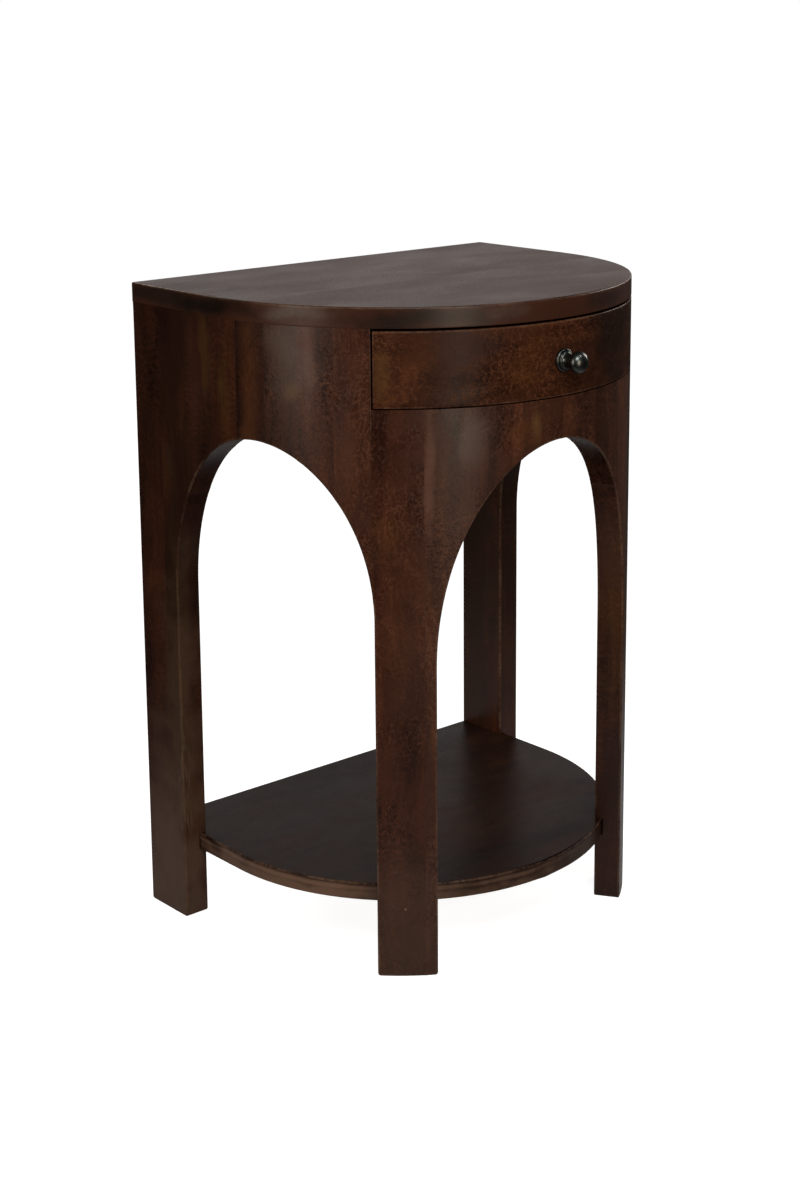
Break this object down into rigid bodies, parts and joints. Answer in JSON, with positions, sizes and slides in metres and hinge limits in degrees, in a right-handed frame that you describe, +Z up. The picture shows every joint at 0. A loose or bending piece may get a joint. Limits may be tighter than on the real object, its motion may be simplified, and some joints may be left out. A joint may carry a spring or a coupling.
{
  "type": "nightstand",
  "caption": "Bow-fronted wooden bedside table with arched sides and front, a curved drawer with a round knob, and a low shelf.",
  "frame": {"origin": "on the floor, under the middle of the object's whole outline, knob included", "axes": "+Z up, +Y towards the flat back, -Y towards the drawer, +X to the right of someone facing the back from the front"},
  "size_m": [0.458, 0.383, 0.635],
  "materials": {
    "stained_wood": "dark stain under satin lacquer",
    "inner_wood": "sanded, uncoated",
    "plywood": "sanded, uncoated",
    "black_metal": "gloss black",
    "steel": "zinc plated"
  },
  "bodies": {
    "case": {"top_board_1": "stained_wood", "top_board_2": "stained_wood", "top_board_3": "stained_wood", "top_board_4": "stained_wood", "left_stave_1": "stained_wood", "left_stave_2": "stained_wood", "left_stave_3": "stained_wood", "left_stave_4": "stained_wood", "left_stave_5": "stained_wood", "left_stave_6": "stained_wood", "left_stave_7": "stained_wood", "left_stave_8": "stained_wood", "right_stave_1": "stained_wood", "right_stave_2": "stained_wood", "right_stave_3": "stained_wood", "right_stave_4": "stained_wood", "right_stave_5": "stained_wood", "right_stave_6": "stained_wood", "right_stave_7": "stained_wood", "right_stave_8": "stained_wood", "front_stave_1": "stained_wood", "front_stave_2": "stained_wood", "front_stave_3": "stained_wood", "front_stave_4": "stained_wood", "front_stave_5": "stained_wood", "front_stave_6": "stained_wood", "front_stave_7": "stained_wood", "front_stave_8": "stained_wood", "shelf": "stained_wood", "back_rail": "stained_wood", "back_rail_dowels": "inner_wood", "front_bearer": "inner_wood", "drawer_stops": "inner_wood", "left_runner": "inner_wood", "right_runner": "inner_wood", "runner_dowels": "inner_wood", "runner_screws": "steel", "left_guide": "inner_wood", "right_guide": "inner_wood", "left_kicker": "inner_wood", "right_kicker": "inner_wood", "kicker_screws": "steel", "left_top_cleat": "inner_wood", "right_top_cleat": "inner_wood", "cleat_screws": "steel", "top_screws": "steel"},
    "drawer": {"drawer_front": "stained_wood", "drawer_left_side": "inner_wood", "drawer_right_side": "inner_wood", "drawer_back": "inner_wood", "drawer_bottom": "plywood", "drawer_screws": "steel", "knob": "black_metal", "knob_washer": "steel", "knob_screw": "steel"}
  },
  "joints": [
    {"name": "drawer_slide", "type": "slide", "parent": "case", "child": "drawer", "axis": [0, -1, 0], "range_m": [0, 0.19]}
  ]
}
